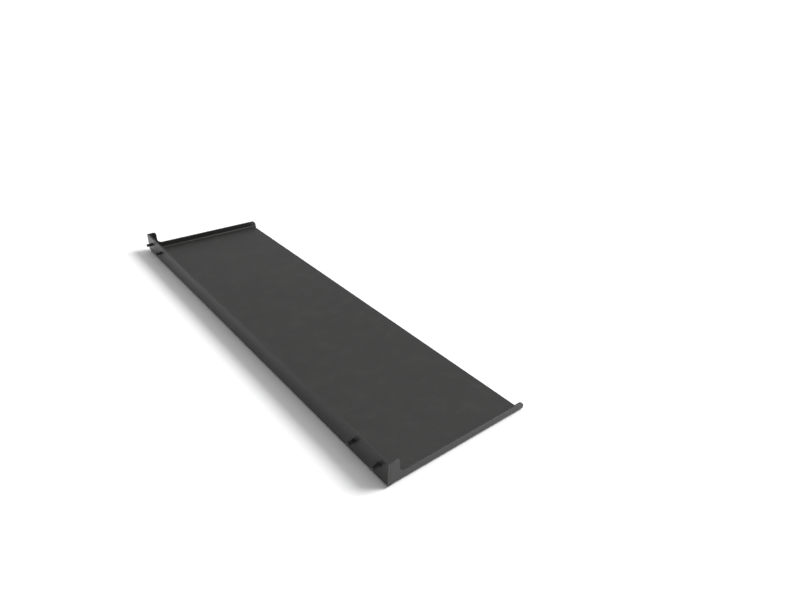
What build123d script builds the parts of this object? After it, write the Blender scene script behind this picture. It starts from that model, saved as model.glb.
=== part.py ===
# Leg-mounted computer tray: one folded steel sheet, screwed by its tall flange to the outer faces of two
# bench legs. Millimetres. Origin: centre of the mounting flange's outer face. +X away from the legs, +Y to
# the back, +Z up.

import os

from build123d import *

# Tray, driving dimensions
TRAY_WIDTH = 241.3        # mounting face to the free ends of the lips, 9 1/2 in
TRAY_DEPTH = 812.8        # front face to back face, 32 in
FLANGE_HEIGHT = 38.1      # underside to the top of the flange and ears, 1 1/2 in
LIP_HEIGHT = 14.3         # underside to the top of the low lips, 9/16 in
SHEET = 3.04              # 11 gauge steel
BEND_INNER = 2.0          # inside radius of every fold

# Outline of the lips
LIP_OVERHANG = 4.8        # how far the lips run past the floor's open edge
LIP_END_ROUND = 8.0       # rounded top corner at a lip's free end
EAR_RIGHT = 17.6          # mounting face to the ear's free side
EAR_ROUND = 4.5           # rounded top corner of an ear
EAR_FILLET = 10.0         # concave corner between an ear and its lip
CUT_EDGE_ROUND = 0.4      # softened edges of the cut sheet
CORNER_ROUND = 4.0        # ground-off bottom corner at each end of the flange's fold

# Corner where the flange and a lip meet
SEAM_GAP = 0.4            # slit between the flange and the ear's edge
RELIEF_WIDTH = 0.8        # slot that frees a lip's fold from the flange's fold
RELIEF_RADIUS = 1.1       # round end of that slot

# Mounting screws, 1/4-20 button head, two through each leg's stretch of the flange
LEG_WIDTH = 91.0          # each leg along the tray's depth, flush with the tray's end
SCREW_SPACING = 50.8      # between the two screws of a leg, 2 in
SCREW_HEIGHT = 21.5       # underside of the tray to the screw axes
SCREW_RADIUS = 3.175      # over the thread
SCREW_BODY_RADIUS = 2.76  # plain body between the thread and the head, as a rolled thread leaves it
SCREW_RUNOUT = 0.4        # cone where the thread starts, at the flange's outer face
SCREW_LENGTH = 15.875     # under the head, 5/8 in
SCREW_TIP_CHAMFER = 0.6
HEAD_RADIUS = 5.55
HEAD_HEIGHT = 3.35
HEAD_RIM = 0.5            # straight rim under the dome
HEAD_TOP_RADIUS = 2.9     # flat land around the socket
HEAD_BULGE = 0.55         # rise of the dome over a straight cone
SOCKET_FLATS = 3.97       # hex socket across flats, 5/32 in
SOCKET_DEPTH = 2.1
SCREW_HOLE_RADIUS = 3.6   # clearance hole in the flange

# Washers
FLAT_WASHER_RADIUS = 7.95
FLAT_WASHER_HOLE = 3.6
FLAT_WASHER_THICKNESS = 1.65
LOCK_WASHER_RADIUS = 6.15
LOCK_WASHER_HOLE = 3.3
LOCK_WASHER_THICKNESS = 1.6
LOCK_WASHER_SPLIT = 0.8   # width of the slanted split
LOCK_WASHER_SLANT = 20.0  # slant of the split, degrees
WASHER_CHAMFER = 0.2

# Corner welds
WELD_LEG = 3.2            # leg of the fillet bead
WELD_BULGE = 0.5          # rise of the bead over a flat fillet
WELD_BARE = 1.5           # bare seam above and below the bead
WELD_THROAT = 1.6         # how deep the bead runs into the seam

# Derived places
TINY = 0.001              # for telling whether an edge lies on a plane
BEND_OUTER = BEND_INNER + SHEET
BOTTOM = -FLANGE_HEIGHT / 2
TOP = FLANGE_HEIGHT / 2
FRONT = -TRAY_DEPTH / 2
LIP_TOP = BOTTOM + LIP_HEIGHT
FOLD_TOP = BOTTOM + BEND_OUTER
FLOOR_EDGE = TRAY_WIDTH - LIP_OVERHANG
EAR_LEFT = SHEET + SEAM_GAP
LIP_FOLD_START = BEND_OUTER + RELIEF_WIDTH
SCREW_Z = BOTTOM + SCREW_HEIGHT
LOCK_WASHER_SEAT = SHEET + FLAT_WASHER_THICKNESS
HEAD_SEAT = LOCK_WASHER_SEAT + LOCK_WASHER_THICKNESS
LEG_CENTRE = (TRAY_DEPTH - LEG_WIDTH) / 2


def nearest(vertices, x, y):
    """The sketch vertex nearest to a point."""
    return vertices.sort_by(lambda v: abs(v.X - x) + abs(v.Y - y))[0]


def folded_section(run, rise):
    """L-shaped section of the sheet: floor of length run along +X, wall of height rise along +Y."""
    with BuildSketch() as section:
        with BuildLine():
            Polyline((0, rise), (0, 0), (run, 0), (run, SHEET), (SHEET, SHEET), (SHEET, rise), close=True)
        make_face()
        fillet(nearest(section.vertices(), 0, 0), BEND_OUTER)
        fillet(nearest(section.vertices(), SHEET, SHEET), BEND_INNER)
    return section.sketch


def lip_outline():
    """The front lip's cut outline, seen from the front: ear at the left, rounded free end at the right."""
    with BuildSketch() as outline:
        with BuildLine():
            Polyline(
                (LIP_FOLD_START, BOTTOM),
                (LIP_FOLD_START, FOLD_TOP),
                (EAR_LEFT, FOLD_TOP),
                (EAR_LEFT, TOP),
                (EAR_RIGHT, TOP),
                (EAR_RIGHT, LIP_TOP),
                (TRAY_WIDTH, LIP_TOP),
                (TRAY_WIDTH, BOTTOM),
                close=True,
            )
        make_face()
        fillet(nearest(outline.vertices(), EAR_RIGHT, TOP), EAR_ROUND)
        fillet(nearest(outline.vertices(), EAR_RIGHT, LIP_TOP), EAR_FILLET)
        fillet(nearest(outline.vertices(), TRAY_WIDTH, LIP_TOP), LIP_END_ROUND)
    return outline.sketch


def front_lip():
    """The front lip with its fold, up to the line where the fold runs into the floor."""
    with BuildPart() as lip:
        with BuildSketch(Plane.YZ.offset(EAR_LEFT)):
            with Locations((FRONT, BOTTOM)):
                add(folded_section(BEND_OUTER, FLANGE_HEIGHT))
        extrude(amount=TRAY_WIDTH - EAR_LEFT)
        with BuildSketch(Plane.XZ.offset(-FRONT)):
            add(lip_outline())
        extrude(amount=-BEND_OUTER, mode=Mode.INTERSECT)
    return lip.part


def is_cut_edge(edge):
    """True for the visible edges of the cut outline: the flange's top and ends, and the lips."""
    centre = edge.center()
    from_end = -FRONT - abs(centre.Y)
    on_flange = centre.X < SHEET + TINY and abs(centre.Z - TOP) < TINY
    on_flange_end = centre.X < SHEET - TINY and from_end < TINY
    along_lip = edge.bounding_box().size.Y < TINY and (from_end < TINY or abs(from_end - SHEET) < TINY)
    on_lip = along_lip and centre.X > EAR_LEFT + TINY and centre.Z > FOLD_TOP + TINY
    on_lip_end = abs(centre.X - TRAY_WIDTH) < TINY and centre.Z < FOLD_TOP + TINY
    return on_flange or on_flange_end or on_lip or on_lip_end


def leg_places(leg_centre):
    """Places of one leg's two screws on the flange."""
    return [(0, leg_centre + side * SCREW_SPACING / 2, SCREW_Z) for side in (-1, 1)]


def screw():
    """One screw along the X axis, head towards +X."""
    tip = HEAD_SEAT - SCREW_LENGTH
    rim = HEAD_SEAT + HEAD_RIM
    crown = HEAD_SEAT + HEAD_HEIGHT
    with BuildPart() as one:
        with BuildSketch():
            with BuildLine():
                Polyline(
                    (crown, HEAD_TOP_RADIUS),
                    (crown, 0),
                    (tip, 0),
                    (tip, SCREW_RADIUS - SCREW_TIP_CHAMFER),
                    (tip + SCREW_TIP_CHAMFER, SCREW_RADIUS),
                    (-SCREW_RUNOUT, SCREW_RADIUS),
                    (0, SCREW_BODY_RADIUS),
                    (HEAD_SEAT, SCREW_BODY_RADIUS),
                    (HEAD_SEAT, HEAD_RADIUS),
                    (rim, HEAD_RADIUS),
                )
                SagittaArc((rim, HEAD_RADIUS), (crown, HEAD_TOP_RADIUS), -HEAD_BULGE)
            make_face()
        revolve(axis=Axis.X)
        with BuildSketch(Plane.YZ.offset(crown)):
            RegularPolygon(SOCKET_FLATS / 2, 6, major_radius=False)
        extrude(amount=-SOCKET_DEPTH, mode=Mode.SUBTRACT)
    return one.part


def ring(seat, outer, hole, thickness):
    """A washer along the X axis, with its face on the plane x = seat."""
    with BuildPart() as one:
        with BuildSketch(Plane.YZ.offset(seat)):
            Circle(outer)
            Circle(hole, mode=Mode.SUBTRACT)
        extrude(amount=thickness)
        chamfer(one.edges().filter_by(GeomType.CIRCLE), WASHER_CHAMFER)
    return one.part


def lock_washer():
    """A clamped split lock washer: a ring cut through at one place by a slanted slot."""
    middle = LOCK_WASHER_SEAT + LOCK_WASHER_THICKNESS / 2
    with BuildPart() as one:
        add(ring(LOCK_WASHER_SEAT, LOCK_WASHER_RADIUS, LOCK_WASHER_HOLE, LOCK_WASHER_THICKNESS))
        with Locations(Location((middle, 0, LOCK_WASHER_RADIUS), (0, 0, LOCK_WASHER_SLANT))):
            Box(3 * LOCK_WASHER_THICKNESS, LOCK_WASHER_SPLIT, LOCK_WASHER_RADIUS, mode=Mode.SUBTRACT)
    return one.part


def front_weld():
    """Fillet bead in the corner between the flange and the front ear, with its root in the seam."""
    corner = FRONT + SHEET
    with BuildPart() as bead:
        with BuildSketch(Plane.XY.offset(FOLD_TOP + WELD_BARE)):
            with BuildLine():
                Polyline(
                    (SHEET, corner + WELD_LEG),
                    (SHEET, corner - WELD_THROAT),
                    (EAR_LEFT, corner - WELD_THROAT),
                    (EAR_LEFT, corner),
                    (SHEET + WELD_LEG, corner),
                )
                SagittaArc((SHEET + WELD_LEG, corner), (SHEET, corner + WELD_LEG), -WELD_BULGE)
            make_face()
        extrude(amount=TOP - FOLD_TOP - 2 * WELD_BARE)
    return bead.part


with BuildPart() as tray:
    # Floor, flange fold and mounting flange, over the whole depth, with the floor's open edge softened
    with BuildSketch(Plane.XZ.offset(-FRONT)):
        with Locations((0, BOTTOM)):
            add(folded_section(FLOOR_EDGE, FLANGE_HEIGHT))
    extrude(amount=-TRAY_DEPTH)
    fillet(tray.edges().filter_by(Axis.Y).group_by(Axis.X)[-1], CUT_EDGE_ROUND)
    # At each end the floor stops at the lip's fold, and a round-ended slot frees the corner
    with BuildSketch(Plane.XY.offset(BOTTOM)) as end_cut:
        with Locations((BEND_OUTER, FRONT)):
            Rectangle(TRAY_WIDTH, BEND_OUTER, align=(Align.MIN, Align.MIN))
        with Locations((BEND_OUTER + RELIEF_WIDTH / 2, FRONT + BEND_OUTER)):
            Circle(RELIEF_RADIUS)
        mirror(about=Plane.XZ)
    extrude(amount=BEND_OUTER, mode=Mode.SUBTRACT)
    # Lips, front and back
    add(front_lip())
    add(mirror(front_lip(), about=Plane.XZ, mode=Mode.PRIVATE))
    # Clearance holes for the mounting screws
    with BuildSketch(Plane.YZ):
        with Locations([(y, z) for leg in (-LEG_CENTRE, LEG_CENTRE) for _, y, z in leg_places(leg)]):
            Circle(SCREW_HOLE_RADIUS)
    extrude(amount=SHEET, mode=Mode.SUBTRACT)
    fillet(tray.edges().filter_by(is_cut_edge), CUT_EDGE_ROUND)
    # The bottom corner at each end of the flange's fold is ground off, in line with the lip's fold
    with BuildSketch(Plane.YZ):
        with Locations((FRONT, BOTTOM)):
            Rectangle(CORNER_ROUND, CORNER_ROUND, align=(Align.MIN, Align.MIN))
        with Locations((FRONT + CORNER_ROUND, BOTTOM + CORNER_ROUND)):
            Circle(CORNER_ROUND, mode=Mode.SUBTRACT)
        mirror(about=Plane.YZ)
    extrude(amount=BEND_OUTER + RELIEF_WIDTH / 2, mode=Mode.SUBTRACT)

with BuildPart() as front_corner_weld:
    add(front_weld())

with BuildPart() as back_corner_weld:
    add(front_weld())
    mirror(about=Plane.XZ, mode=Mode.REPLACE)

nodes = {
    "tray": tray.part,
    "front_corner_weld": front_corner_weld.part,
    "back_corner_weld": back_corner_weld.part,
}

# One set of fasteners for each leg
for leg, centre in (("front", -LEG_CENTRE), ("back", LEG_CENTRE)):
    with BuildPart() as leg_screws:
        with Locations(leg_places(centre)):
            add(screw())
    with BuildPart() as leg_lock_washers:
        with Locations(leg_places(centre)):
            add(lock_washer())
    with BuildPart() as leg_flat_washers:
        with Locations(leg_places(centre)):
            add(ring(SHEET, FLAT_WASHER_RADIUS, FLAT_WASHER_HOLE, FLAT_WASHER_THICKNESS))
    nodes[f"{leg}_leg_screws"] = leg_screws.part
    nodes[f"{leg}_leg_lock_washers"] = leg_lock_washers.part
    nodes[f"{leg}_leg_flat_washers"] = leg_flat_washers.part

os.makedirs("parts", exist_ok=True)
for name, part in nodes.items():
    part.label = name
    export_step(part, f"parts/{name}.step")
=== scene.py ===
import math

import bpy
from mathutils import Matrix, Vector, noise


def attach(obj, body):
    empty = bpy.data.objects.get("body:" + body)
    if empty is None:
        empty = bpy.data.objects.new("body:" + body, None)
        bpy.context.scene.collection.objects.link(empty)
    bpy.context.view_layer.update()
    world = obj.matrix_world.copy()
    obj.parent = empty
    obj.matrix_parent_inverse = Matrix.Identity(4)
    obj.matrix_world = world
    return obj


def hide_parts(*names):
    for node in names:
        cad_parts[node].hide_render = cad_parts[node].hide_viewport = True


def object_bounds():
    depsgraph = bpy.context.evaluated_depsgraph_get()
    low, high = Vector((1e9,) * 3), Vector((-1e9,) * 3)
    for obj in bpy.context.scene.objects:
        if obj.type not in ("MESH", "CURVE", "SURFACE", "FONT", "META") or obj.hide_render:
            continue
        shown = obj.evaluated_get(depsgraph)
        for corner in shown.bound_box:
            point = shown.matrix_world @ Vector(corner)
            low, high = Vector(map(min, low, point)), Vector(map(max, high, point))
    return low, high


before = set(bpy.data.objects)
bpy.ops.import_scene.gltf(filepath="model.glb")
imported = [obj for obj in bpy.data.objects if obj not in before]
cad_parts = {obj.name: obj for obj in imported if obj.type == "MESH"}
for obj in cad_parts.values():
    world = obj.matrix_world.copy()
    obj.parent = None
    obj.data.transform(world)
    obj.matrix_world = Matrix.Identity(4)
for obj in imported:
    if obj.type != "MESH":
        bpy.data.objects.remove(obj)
cad_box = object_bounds()
MM = 0.001

# Tray, millimetres, as in the CAD model
SHEET = 3.04
INNER_FACE = cad_box[1].y / MM - SHEET      # how far the ears' inner faces stand from the middle

# Corner welds
WELD_LOW, WELD_HIGH = -12.45, 17.5
WELD_LEG = 3.2
WELD_ROOT = 0.25           # how far a bead's root reaches into the seam
RIPPLE_PITCH = 2.15        # from one crescent of the bead to the next
RIPPLE_HEIGHT = 0.26
BEAD_CROWN = 0.34          # rise of the bead over a flat fillet

# Screws: places along X, radii and the rolled thread
LEG_CENTRE = 360.9         # middle of each pair, from the tray's middle
SCREW_HALF_SPACING = 25.4
SCREW_Z = 2.45
TIP = cad_box[0].x / MM
FLAT_SEAT = SHEET          # where the flat washer, the lock washer and the head rest
LOCK_SEAT = FLAT_SEAT + 1.65
HEAD_SEAT = LOCK_SEAT + 1.6
HEAD_CROWN = HEAD_SEAT + 3.35
HEAD_RADIUS = 5.55
HEAD_BULGE = 0.55
LAND_RADIUS = 2.9          # flat ring around the socket
BODY_RADIUS = 2.76
SOCKET_HALF_FLATS = 1.985
SOCKET_DEPTH = 2.1
THREAD_RADIUS = 3.175
THREAD_PITCH = 1.27
THREAD_DEPTH = 0.72
CREST_SHARE, FLANK_SHARE = 0.14, 0.66    # parts of half a pitch
FLANK_CURVE = 0.35         # how rounded the flanks are, 0 for straight
POINT_RADIUS = 2.45        # where the thread fades out at the tip

# Washers
FLAT_HOLE, FLAT_RADIUS = 3.6, 7.95
LOCK_HOLE, LOCK_RADIUS = 3.3, 6.15
LOCK_ROUND = 0.18          # rounded edges of the lock washer's wire
LOCK_SPLIT = 0.8
LOCK_SLANT = math.radians(20)


# ---------------------------------------------------------------- meshes

def make_object(name, verts, faces, sharp, radial):
    """A smooth object from millimetre points, with each point's distance from its axis where one is given."""
    mesh = bpy.data.meshes.new(name)
    mesh.from_pydata([tuple(c * MM for c in v) for v in verts], [], faces)
    mesh.validate()
    mesh.update()
    mesh.shade_smooth()
    mesh.set_sharp_from_angle(angle=math.radians(sharp))
    if radial:
        layer = mesh.attributes.new("radial", "FLOAT", "POINT")
        for point, value in zip(layer.data, radial):
            point.value = value
    obj = bpy.data.objects.new(name, mesh)
    bpy.context.scene.collection.objects.link(obj)
    return obj


def rings_to_mesh(rings, cap_ends=True):
    """Vertices and quads of a stack of rings with the same number of points."""
    verts = [p for ring in rings for p in ring]
    count = len(rings[0])
    faces = []
    for r in range(len(rings) - 1):
        for k in range(count):
            a = r * count + k
            b = r * count + (k + 1) % count
            faces.append((a, b, b + count, a + count))
    if cap_ends:
        last = (len(rings) - 1) * count
        faces.append(tuple(reversed(range(count))))
        faces.append(tuple(range(last, last + count)))
    return verts, faces


def arc(centre, radius, start, end, steps):
    """Points of an arc in a plane, by angles in degrees."""
    out = []
    for i in range(steps + 1):
        a = math.radians(start + (end - start) * i / steps)
        out.append((centre[0] + radius * math.cos(a), centre[1] + radius * math.sin(a)))
    return out


def hexagon(angle, half_flats):
    """Distance from a hexagon's middle to its side at an angle."""
    sixth = math.pi / 3
    return half_flats / math.cos((angle % sixth) - sixth / 2)


def smooth_step(x, low, high):
    """Rises smoothly from 0 at low to 1 at high."""
    t = min(max((x - low) / (high - low), 0), 1)
    return t * t * (3 - 2 * t)


def thread_radius(x, angle):
    """Radius of the rolled thread's surface at a place along the screw and an angle round it."""
    phase = (x / THREAD_PITCH + angle / math.tau) % 1
    from_crest = abs(2 * phase - 1)
    slope = min(max((from_crest - CREST_SHARE) / FLANK_SHARE, 0), 1)
    valley = smooth_step(slope, 0, 1) * FLANK_CURVE + slope * (1 - FLANK_CURVE)
    fade = smooth_step(x, TIP - 0.3, TIP + 0.9) * (1 - smooth_step(x, -1.3, -0.25))
    cone = POINT_RADIUS + (THREAD_RADIUS - POINT_RADIUS) * smooth_step(x, TIP - 0.2, TIP + 0.8)
    crest = min(THREAD_RADIUS - 0.01, cone + 0.1)
    return crest - THREAD_DEPTH * valley * fade


def screw_mesh(y, spin):
    """A button-head screw with a hexagon socket and a rolled thread, along X."""
    around = 72
    thread_rows = 92
    rings = []

    def ring(x, radius_at):
        row = []
        for k in range(around):
            a = math.tau * k / around
            r = radius_at(a)
            turned = a + spin
            row.append((x, y + r * math.cos(turned), SCREW_Z + r * math.sin(turned)))
        rings.append(row)

    def flat(x, r):
        ring(x, lambda a: r)

    # The socket, from the drill point in its bottom up to its softened rim
    bottom = HEAD_CROWN - SOCKET_DEPTH
    flat(bottom - 0.5, 0.05)
    flat(bottom - 0.42, 0.4)
    ring(bottom, lambda a: min(hexagon(a, SOCKET_HALF_FLATS) * 0.985, 1.98))
    ring(bottom + 0.03, lambda a: hexagon(a, SOCKET_HALF_FLATS))
    ring(HEAD_CROWN - 0.2, lambda a: hexagon(a, SOCKET_HALF_FLATS))
    ring(HEAD_CROWN - 0.12, lambda a: hexagon(a, SOCKET_HALF_FLATS) + 0.03)
    ring(HEAD_CROWN - 0.02, lambda a: max(hexagon(a, SOCKET_HALF_FLATS) + 0.14, 2.2))
    flat(HEAD_CROWN, 2.52)
    flat(HEAD_CROWN, LAND_RADIUS - 0.1)
    # The dome, from the land round the socket out to the straight rim
    crown = Vector((HEAD_CROWN - 0.02, LAND_RADIUS))
    rim = Vector((HEAD_SEAT + 0.62, HEAD_RADIUS - 0.03))
    out = Vector((rim.y - crown.y, crown.x - rim.x)).normalized()
    for i in range(13):
        t = i / 12
        p = crown.lerp(rim, t)
        bulge = HEAD_BULGE * 4 * t * (1 - t)
        flat(p.x + out.x * bulge, p.y + out.y * bulge)
    # The rim, the seat under the head and the plain body
    flat(HEAD_SEAT + 0.5, HEAD_RADIUS)
    flat(HEAD_SEAT + 0.14, HEAD_RADIUS)
    flat(HEAD_SEAT + 0.04, HEAD_RADIUS - 0.04)
    flat(HEAD_SEAT, HEAD_RADIUS - 0.14)
    flat(HEAD_SEAT, BODY_RADIUS + 0.2)
    flat(HEAD_SEAT - 0.06, BODY_RADIUS + 0.05)
    flat(HEAD_SEAT - 0.2, BODY_RADIUS)
    flat(0.1, BODY_RADIUS)
    flat(0.0, BODY_RADIUS)
    # The thread, which rises out of the body outside the flange
    start, end = -0.05, TIP + 0.01
    for i in range(thread_rows + 1):
        x = start + (end - start) * i / thread_rows
        lead_in = smooth_step(-x, 0.0, 0.45)
        ring(x, lambda a, x=x, t=lead_in: BODY_RADIUS + (thread_radius(x, a) - BODY_RADIUS) * t)
    flat(TIP, 2.0)
    flat(TIP + 0.02, 0.05)
    verts, faces = rings_to_mesh(rings)
    radial = [math.hypot(v[1] - y, v[2] - SCREW_Z) for v in verts]
    return verts, [tuple(reversed(f)) for f in faces], radial


def flat_washer_mesh(y, spin):
    """A stamped flat washer: rolled-over edges on one face, a small burr line on the other."""
    x0, x1 = FLAT_SEAT, LOCK_SEAT
    section = [(x1, FLAT_HOLE + 0.25), (x1, FLAT_RADIUS - 0.36)]
    section += arc((x1 - 0.34, FLAT_RADIUS - 0.34), 0.34, 10, 90, 5)
    section += arc((x0 + 0.08, FLAT_RADIUS - 0.08), 0.08, 90, 180, 3)
    section += arc((x0 + 0.08, FLAT_HOLE + 0.08), 0.08, 180, 270, 3)
    section += arc((x1 - 0.22, FLAT_HOLE + 0.22), 0.22, 270, 355, 4)
    return swept_ring(section, y, [math.tau * k / 96 + spin for k in range(96)], True)


def lock_washer_mesh(y, spin):
    """A split ring of rounded square wire, its two cut ends slanted and a hair apart."""
    x0, x1, r = LOCK_SEAT, HEAD_SEAT, LOCK_ROUND
    section = arc((x1 - r, LOCK_RADIUS - r), r, 0, 90, 4)
    section += arc((x0 + r, LOCK_RADIUS - r), r, 90, 180, 4)
    section += arc((x0 + r, LOCK_HOLE + r), r, 180, 270, 4)
    section += arc((x1 - r, LOCK_HOLE + r), r, 270, 360, 4)
    steps = 84
    angles = [k / steps for k in range(steps + 1)]
    return swept_ring(section, y, angles, False, spin)


def swept_ring(section, y, angles, whole, spin=0.0):
    """A section, in x and radius, swept round the screw's axis. A split ring's ends are cut on the slant."""
    rings, radial = [], []
    middle = (LOCK_SEAT + HEAD_SEAT) / 2
    for angle in angles:
        row = []
        for x, r in section:
            if whole:
                a = angle
            else:
                slant = (x - middle) * math.tan(LOCK_SLANT) / r
                gap = LOCK_SPLIT / 2 / r
                a = spin + slant + gap + (math.tau - 2 * gap) * angle
            row.append((x, y + r * math.cos(a), SCREW_Z + r * math.sin(a)))
            radial.append(r)
        rings.append(row)
    verts, faces = rings_to_mesh(rings, cap_ends=not whole)
    if whole:
        count = len(section)
        base = (len(rings) - 1) * count
        faces += [(base + k, base + (k + 1) % count, (k + 1) % count, k) for k in range(count)]
    return verts, faces, radial


def weld_mesh(side):
    """A fillet bead up the inside corner of an ear: overlapping crescents with tapered ends."""
    steps, across = 200, 18
    diagonal = math.sqrt(0.5)
    rings = []
    for i in range(steps + 1):
        z = WELD_LOW + (WELD_HIGH - WELD_LOW) * i / steps
        lower_end = smooth_step(z, WELD_LOW - 0.3, WELD_LOW + 1.8)
        upper_end = smooth_step(-z, -WELD_HIGH - 0.3, -WELD_HIGH + 1.5)
        taper = min(lower_end, upper_end)
        wander = 0.16 * noise.noise(Vector((z * 0.21, side * 3.1, 0.4)))
        leg = (WELD_LEG - 0.35 + wander) * (0.55 + 0.45 * taper)
        row = [(SHEET - WELD_ROOT, INNER_FACE + WELD_ROOT, z)]
        for j in range(across + 1):
            t = j / across
            crescent = z - 1.15 * (1 - (2 * t - 1) ** 2)
            step = (crescent / RIPPLE_PITCH + 0.3 * noise.noise(Vector((z * 0.08, 5.0, side)))) % 1
            ripple = RIPPLE_HEIGHT * (1 - step) ** 1.6 * smooth_step(step, 0.0, 0.12)
            ripple *= math.sin(math.pi * min(max(t, 0.02), 0.98)) ** 0.6
            rise = (BEAD_CROWN + ripple + 0.05 * noise.noise(Vector((z * 0.9, t * 3.0, side)))) * taper
            rise *= math.sin(math.pi * t) ** 0.7 if 0 < t < 1 else 0
            x = SHEET - 0.02 + leg * t + rise * diagonal
            y = INNER_FACE + 0.02 - leg * (1 - t) - rise * diagonal
            row.append((x, y, z))
        rings.append(row)
    verts, faces = rings_to_mesh(rings)
    verts = [(x, side * y, z) for x, y, z in verts]
    if side < 0:
        faces = [tuple(reversed(f)) for f in faces]
    return verts, faces


# ---------------------------------------------------------------- materials

class Shader:
    """Builds one node material."""

    def __init__(self, name):
        self.material = bpy.data.materials.new(name)
        self.material.use_nodes = True
        self.tree = self.material.node_tree
        self.tree.nodes.clear()
        self.out = self.add("ShaderNodeOutputMaterial")
        self.body = self.add("ShaderNodeBsdfPrincipled")
        self.tree.links.new(self.body.outputs[0], self.out.inputs[0])
        self.place = self.add("ShaderNodeTexCoord").outputs["Object"]

    def add(self, kind, **settings):
        node = self.tree.nodes.new(kind)
        for key, value in settings.items():
            setattr(node, key, value)
        return node

    def put(self, node, socket, value):
        if isinstance(value, bpy.types.NodeSocket):
            self.tree.links.new(value, node.inputs[socket])
        else:
            node.inputs[socket].default_value = value

    def noise(self, scale, detail, rough, vector=None):
        """A noise pattern; the scale is in patterns to the metre."""
        node = self.add("ShaderNodeTexNoise")
        self.put(node, "Vector", vector or self.place)
        for key, value in (("Scale", scale), ("Detail", detail), ("Roughness", rough)):
            node.inputs[key].default_value = value
        return node.outputs[0]

    def stretched(self, scale, turn):
        """Object coordinates scaled by axis and turned, for marks that run one way."""
        node = self.add("ShaderNodeMapping")
        self.put(node, "Vector", self.place)
        node.inputs["Scale"].default_value = scale
        node.inputs["Rotation"].default_value = (0, 0, turn)
        return node.outputs[0]

    def span(self, value, low, high, to_low=0.0, to_high=1.0, smooth=False):
        """A value's stretch from low to high, carried over to another stretch."""
        node = self.add("ShaderNodeMapRange", interpolation_type="SMOOTHSTEP" if smooth else "LINEAR")
        self.put(node, "Value", value)
        for key, number in (("From Min", low), ("From Max", high), ("To Min", to_low), ("To Max", to_high)):
            node.inputs[key].default_value = number
        return node.outputs[0]

    def calc(self, how, a, b):
        node = self.add("ShaderNodeMath", operation=how)
        self.put(node, 0, a)
        self.put(node, 1, b)
        return node.outputs[0]

    def mix(self, factor, a, b):
        """A mix of two colours; the node keeps its colour sockets at these places."""
        colour_a, colour_b, colour_out = 6, 7, 2
        node = self.add("ShaderNodeMix", data_type="RGBA")
        self.put(node, "Factor", factor)
        self.put(node, colour_a, a)
        self.put(node, colour_b, b)
        return node.outputs[colour_out]

    def bump(self, height, distance, strength, normal=None):
        """Relief of a depth in metres, over another normal where one is given."""
        node = self.add("ShaderNodeBump")
        self.put(node, "Height", height)
        node.inputs["Distance"].default_value = distance
        node.inputs["Strength"].default_value = strength
        if normal is not None:
            self.put(node, "Normal", normal)
        return node.outputs[0]

    def edges(self, radius):
        """Near one on edges sharper than the radius, near nought on flats and wide bends."""
        bevel = self.add("ShaderNodeBevel", samples=8)
        bevel.inputs["Radius"].default_value = radius
        face = self.add("ShaderNodeNewGeometry")
        dot = self.add("ShaderNodeVectorMath", operation="DOT_PRODUCT")
        self.put(dot, 0, bevel.outputs[0])
        self.put(dot, 1, face.outputs["True Normal"])
        return self.span(dot.outputs["Value"], 0.995, 0.86)

    def upward(self):
        """One on faces that look up, nought on upright and lower faces."""
        face = self.add("ShaderNodeNewGeometry")
        split = self.add("ShaderNodeSeparateXYZ")
        self.put(split, 0, face.outputs["True Normal"])
        return self.span(split.outputs[2], 0.75, 0.98, smooth=True)


def rgb(r, g, b):
    return (r, g, b, 1.0)


# Colours, as linear light
COAT_DEEP, COAT_PALE = rgb(0.0138, 0.0138, 0.0134), rgb(0.0172, 0.0170, 0.0165)
# The coat's pale edge colour stands partly for wear and partly for a painted highlight along the edges
COAT_GRAIN, COAT_WEAR_AND_HIGHLIGHT = rgb(0.034, 0.0335, 0.0325), rgb(0.140, 0.137, 0.133)
DUST, SCUFF = rgb(0.165, 0.158, 0.150), rgb(0.13, 0.127, 0.123)
OXIDE_DARK, OXIDE_LIGHT = rgb(0.032, 0.032, 0.035), rgb(0.062, 0.060, 0.062)
BARE_STEEL = rgb(0.30, 0.29, 0.285)
ZINC_DARK, ZINC_LIGHT = rgb(0.36, 0.365, 0.375), rgb(0.53, 0.53, 0.535)
ZINC_TINT, ZINC_EDGE = rgb(0.47, 0.44, 0.37), rgb(0.68, 0.68, 0.69)
FLOOR_DARK, FLOOR_LIGHT = rgb(0.86, 0.86, 0.86), rgb(0.88, 0.88, 0.88)


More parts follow.
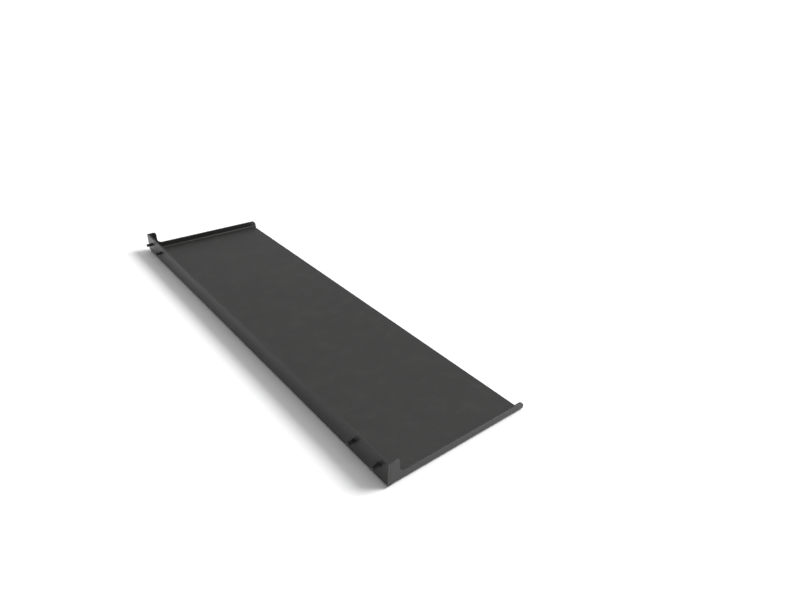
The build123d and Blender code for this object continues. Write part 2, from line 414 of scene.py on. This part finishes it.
def powder_coat(name, scuffs):
    """Dark charcoal satin coat: orange peel, fine grain, faint dust, edges lighter from wear and from a
    painted highlight and, on the tray, scuffs.
    """
    s = Shader(name)
    # Orange peel, grain in the powder, slow unevenness and patches of dust
    peel = s.noise(620, 2.0, 0.45)
    grain = s.noise(2300, 2.0, 0.6)
    cloud = s.noise(11, 4.0, 0.55)
    patch = s.noise(46, 3.0, 0.6)
    colour = s.mix(s.span(cloud, 0.3, 0.7), COAT_DEEP, COAT_PALE)
    colour = s.mix(s.span(grain, 0.42, 0.72, 0.0, 0.30), colour, COAT_GRAIN)
    rough = s.span(cloud, 0.25, 0.75, 0.335, 0.40)
    rough = s.calc("ADD", rough, s.span(grain, 0.3, 0.7, -0.03, 0.03))
    up = s.upward()
    dust = s.calc("MULTIPLY", up, s.span(patch, 0.45, 0.80, 0.0, 0.045, smooth=True))
    colour = s.mix(dust, colour, DUST)
    rough = s.calc("ADD", rough, s.calc("MULTIPLY", dust, 0.5))
    # Fine scratches across and along the floor, only in some places
    if scuffs:
        long_lines = s.noise(1.0, 3.0, 0.55, s.stretched((520, 7, 60), 0.05))
        cross_lines = s.noise(1.0, 3.0, 0.55, s.stretched((9, 470, 60), -0.12))
        where = s.span(s.noise(7.5, 2.0, 0.5), 0.50, 0.66, smooth=True)
        lines = s.calc("MAXIMUM", s.span(long_lines, 0.655, 0.71), s.span(cross_lines, 0.675, 0.73))
        lines = s.calc("MULTIPLY", s.calc("MULTIPLY", lines, where), up)
        colour = s.mix(s.calc("MULTIPLY", lines, 0.28), colour, SCUFF)
        rough = s.calc("SUBTRACT", rough, s.calc("MULTIPLY", lines, 0.10))
    # Edges lighter and smoother: partly rubbed wear, partly a painted highlight along the edges
    lighter_edges = s.calc("MULTIPLY", s.edges(0.0012), s.span(s.noise(90, 4.0, 0.65), 0.36, 0.60, 0.45, 1.0))
    colour = s.mix(s.calc("MULTIPLY", lighter_edges, 0.45), colour, COAT_WEAR_AND_HIGHLIGHT)
    rough = s.calc("SUBTRACT", rough, s.calc("MULTIPLY", lighter_edges, 0.10))
    s.put(s.body, "Base Color", colour)
    s.put(s.body, "Roughness", rough)
    s.body.inputs["IOR"].default_value = 1.46
    wave = s.bump(cloud, 0.00045, 0.35)
    rolled = s.bump(peel, 0.00011, 0.7, wave)
    s.put(s.body, "Normal", s.bump(grain, 0.00003, 0.6, rolled))
    return s.material


def black_oxide(name):
    """Oiled black steel with turning marks round the axis and bare metal on its edges."""
    s = Shader(name)
    cloud = s.noise(160, 4.0, 0.6)
    fine = s.noise(3200, 2.0, 0.6)
    turned = s.add("ShaderNodeAttribute", attribute_name="radial")
    lines = s.add("ShaderNodeTexNoise", noise_dimensions="1D")
    s.put(lines, "W", turned.outputs["Fac"])
    lines.inputs["Scale"].default_value = 9.0
    lines.inputs["Detail"].default_value = 3.0
    colour = s.mix(s.span(cloud, 0.3, 0.7), OXIDE_DARK, OXIDE_LIGHT)
    lighter_edges = s.calc("MULTIPLY", s.edges(0.00035), s.span(fine, 0.35, 0.65, 0.3, 1.0))
    colour = s.mix(s.calc("MULTIPLY", lighter_edges, 0.6), colour, BARE_STEEL)
    s.put(s.body, "Base Color", colour)
    s.body.inputs["Metallic"].default_value = 0.85
    s.put(s.body, "Roughness", s.span(cloud, 0.3, 0.7, 0.30, 0.46))
    s.put(s.body, "Normal", s.bump(fine, 0.000012, 0.5, s.bump(lines.outputs[0], 0.00002, 0.5)))
    return s.material


def zinc(name):
    """Zinc-plated steel, a little mottled and tinted."""
    s = Shader(name)
    cloud = s.noise(210, 4.0, 0.6)
    fine = s.noise(2600, 3.0, 0.65)
    tint = s.noise(75, 2.0, 0.5)
    colour = s.mix(s.span(cloud, 0.3, 0.7), ZINC_DARK, ZINC_LIGHT)
    colour = s.mix(s.span(tint, 0.5, 0.75, 0.0, 0.35), colour, ZINC_TINT)
    lighter_edges = s.edges(0.0003)
    colour = s.mix(s.calc("MULTIPLY", lighter_edges, 0.5), colour, ZINC_EDGE)
    s.put(s.body, "Base Color", colour)
    s.body.inputs["Metallic"].default_value = 1.0
    s.put(s.body, "Roughness", s.span(fine, 0.3, 0.7, 0.26, 0.46))
    s.put(s.body, "Normal", s.bump(fine, 0.00002, 0.5, s.bump(cloud, 0.00005, 0.4)))
    return s.material


def pale_floor(name):
    """A plain matt studio floor."""
    s = Shader(name)
    cloud = s.noise(0.9, 2.0, 0.5)
    s.put(s.body, "Base Color", s.mix(cloud, FLOOR_DARK, FLOOR_LIGHT))
    s.body.inputs["Roughness"].default_value = 0.9
    s.body.inputs["Specular IOR Level"].default_value = 0.1
    s.put(s.body, "Normal", s.bump(s.noise(240, 2.0, 0.5), 0.0001, 0.2))
    return s.material


coat = powder_coat("powder_coat", True)
bead_coat = powder_coat("coated_weld", False)
screw_finish = black_oxide("black_oxide_steel")
washer_finish = zinc("zinc_plated_steel")


# ---------------------------------------------------------------- pieces

def place(name, node, material, meshes, sharp):
    """One piece from one or more closed meshes, standing for a CAD node."""
    verts, faces, radial = [], [], []
    for made in meshes:
        start = len(verts)
        verts += made[0]
        faces += [tuple(start + k for k in f) for f in made[1]]
        radial += made[2] if len(made) > 2 else []
    obj = make_object(name, verts, faces, sharp, radial)
    obj.data.materials.append(material)
    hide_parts(node)
    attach(obj, "root")
    return obj


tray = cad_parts["tray"]
tray.data.materials.clear()
tray.data.materials.append(coat)

for end, side in (("front", -1), ("back", 1)):
    place(f"{end}_corner_bead", f"{end}_corner_weld", bead_coat, [weld_mesh(side)], 70)
    ys = [side * LEG_CENTRE + step * SCREW_HALF_SPACING for step in (-1, 1)]
    spins = [math.radians(17 + 23 * side), math.radians(41 - 9 * side)]
    place(f"{end}_screw_pair", f"{end}_leg_screws", screw_finish,
          [screw_mesh(y, spin) for y, spin in zip(ys, spins)], 38)
    place(f"{end}_lock_washer_pair", f"{end}_leg_lock_washers", washer_finish,
          [lock_washer_mesh(y, 2 * spin + 0.8) for y, spin in zip(ys, spins)], 40)
    place(f"{end}_flat_washer_pair", f"{end}_leg_flat_washers", washer_finish,
          [flat_washer_mesh(y, spin) for y, spin in zip(ys, spins)], 40)


# ---------------------------------------------------------------- floor, light, camera

FLOOR_REACH = 40.0
corners = [(x * FLOOR_REACH, y * FLOOR_REACH, 0) for x, y in ((-1, -1), (1, -1), (1, 1), (-1, 1))]
floor_mesh = bpy.data.meshes.new("studio_floor")
floor_mesh.from_pydata(corners, [], [(0, 1, 2, 3)])
floor = bpy.data.objects.new("studio_floor", floor_mesh)
floor.location = (0, 0, cad_box[0].z - 0.1 * MM)
floor.data.materials.append(pale_floor("pale_floor"))
bpy.context.scene.collection.objects.link(floor)

# A large soft key light, high on the open side and a little to the front, even over the whole floor
KEY_DIRECTION = (-1.0, 0.45, -1.0)
key = bpy.data.lights.new("key_light", "SUN")
key.energy = 3.4
key.angle = math.radians(28)
key_light = bpy.data.objects.new("key_light", key)
key_light.rotation_mode = "QUATERNION"
key_light.rotation_quaternion = Vector(KEY_DIRECTION).to_track_quat("-Z", "Y")
bpy.context.scene.collection.objects.link(key_light)

world = bpy.data.worlds.new("studio")
bpy.context.scene.world = world
world.use_nodes = True
net = world.node_tree
lighting = net.nodes["Background"]
sky = net.nodes.new("ShaderNodeTexCoord")
split = net.nodes.new("ShaderNodeSeparateXYZ")
net.links.new(sky.outputs["Generated"], split.inputs[0])
dome = net.nodes.new("ShaderNodeValToRGB")
# Height above the horizon, as the sine of its angle, and how bright the dome is there
HEIGHTS = ((0.0, 0.24), (0.20, 0.24), (0.34, 0.16), (0.50, 0.24), (0.67, 0.54), (1.0, 0.54))
while len(dome.color_ramp.elements) < len(HEIGHTS):
    dome.color_ramp.elements.new(0.5)
for stop, (height, level) in zip(dome.color_ramp.elements, HEIGHTS):
    stop.position = height
    stop.color = (level, level, level, 1.0)
net.links.new(split.outputs[2], dome.inputs[0])
net.links.new(dome.outputs[0], lighting.inputs["Color"])


def ramp(value, low, high, to_low, to_high):
    """A smooth change of one of the world's values."""
    node = net.nodes.new("ShaderNodeMapRange")
    node.interpolation_type = "SMOOTHSTEP"
    net.links.new(value, node.inputs["Value"])
    for key, number in (("From Min", low), ("From Max", high), ("To Min", to_low), ("To Max", to_high)):
        node.inputs[key].default_value = number
    return node.outputs[0]


HORIZON_STRENGTH = 2.0
# An even bright band along the horizon; above it, the side that the flange faces is darker
aside = ramp(split.outputs[0], -0.6, 0.5, 1.0, 1.75)
above_band = ramp(split.outputs[2], 0.05, 0.22, 0.0, 1.0)
blend = net.nodes.new("ShaderNodeMix")
net.links.new(above_band, blend.inputs["Factor"])
blend.inputs["A"].default_value = HORIZON_STRENGTH
net.links.new(aside, blend.inputs["B"])
net.links.new(blend.outputs[0], lighting.inputs["Strength"])

# The camera itself sees a plain pale backdrop, and the dome only lights
pale = net.nodes.new("ShaderNodeBackground")
pale.inputs["Color"].default_value = rgb(1.0, 1.0, 1.0)
seen = net.nodes.new("ShaderNodeMixShader")
net.links.new(net.nodes.new("ShaderNodeLightPath").outputs["Is Camera Ray"], seen.inputs[0])
net.links.new(lighting.outputs[0], seen.inputs[1])
net.links.new(pale.outputs[0], seen.inputs[2])
net.links.new(seen.outputs[0], net.nodes["World Output"].inputs["Surface"])

# The camera: where it stands, in metres, its lens in millimetres, and its yaw, pitch and roll
CAMERA_PLACE = (-0.3158, -0.7892, 0.5151)
CAMERA_LENS = 26.48
YAW, PITCH, ROLL = (math.radians(a) for a in (40.12, 29.30, 2.42))
ahead = Vector((math.sin(YAW) * math.cos(PITCH), math.cos(YAW) * math.cos(PITCH), -math.sin(PITCH)))
right = ahead.cross(Vector((0, 0, 1))).normalized()
up = right.cross(ahead)
across = math.cos(ROLL) * right + math.sin(ROLL) * up
above = -math.sin(ROLL) * right + math.cos(ROLL) * up
lens = bpy.data.cameras.new("photo_view")
lens.sensor_fit = "HORIZONTAL"
lens.sensor_width = 36.0
lens.lens = CAMERA_LENS
lens.clip_start, lens.clip_end = 0.01, 200.0
lens.dof.use_dof = False
camera = bpy.data.objects.new("photo_view", lens)
turn = Matrix((across, above, -ahead)).transposed().to_4x4()
camera.matrix_world = Matrix.Translation(CAMERA_PLACE) @ turn
bpy.context.scene.collection.objects.link(camera)
bpy.context.scene.camera = camera
bpy.context.scene.view_settings.view_transform = "Standard"
